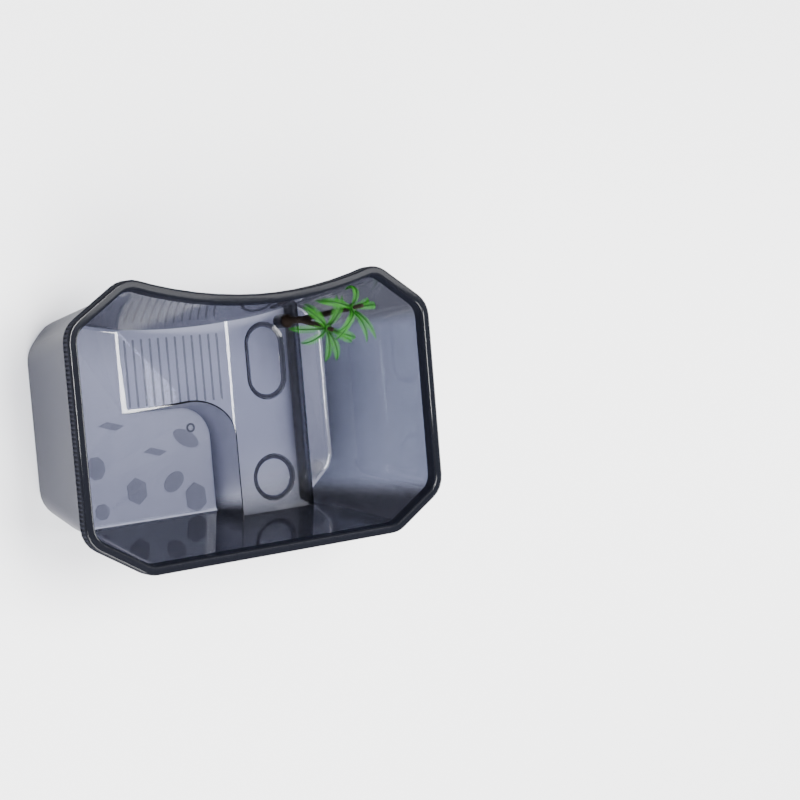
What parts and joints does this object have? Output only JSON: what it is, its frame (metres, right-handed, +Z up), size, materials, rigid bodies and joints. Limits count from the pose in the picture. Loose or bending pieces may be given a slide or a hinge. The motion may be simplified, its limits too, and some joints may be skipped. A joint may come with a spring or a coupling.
{
  "type": "reptile vivarium box",
  "caption": "Open-topped smoke-grey plastic tank with a ramp, basking platform, two pools and dishes, and a lift-out plastic palm.",
  "frame": {"origin": "middle of the rim's box seen from above, on the surface that the tank stands on", "axes": "+X along the length towards the deep pool, +Y towards the bowed back wall, +Z up"},
  "size_m": [0.3274, 0.2252, 0.1455],
  "materials": {
    "smoke_plastic": "smooth translucent moulding, satin inside",
    "palm_bark": "dark brown moulded bark rings",
    "palm_leaf": "soft bright green plastic"
  },
  "bodies": {
    "tank": {"tank": "smoke_plastic"},
    "palm": {"palm_trunk": "palm_bark", "short_leaves_lower": "palm_leaf", "short_leaves_upper": "palm_leaf", "tall_leaves_lower": "palm_leaf", "tall_leaves_upper": "palm_leaf"}
  },
  "joints": [
    {"name": "palm_lift", "type": "slide", "parent": "tank", "child": "palm", "axis": [0, 0, 1], "range_m": [0, 0.05]}
  ]
}
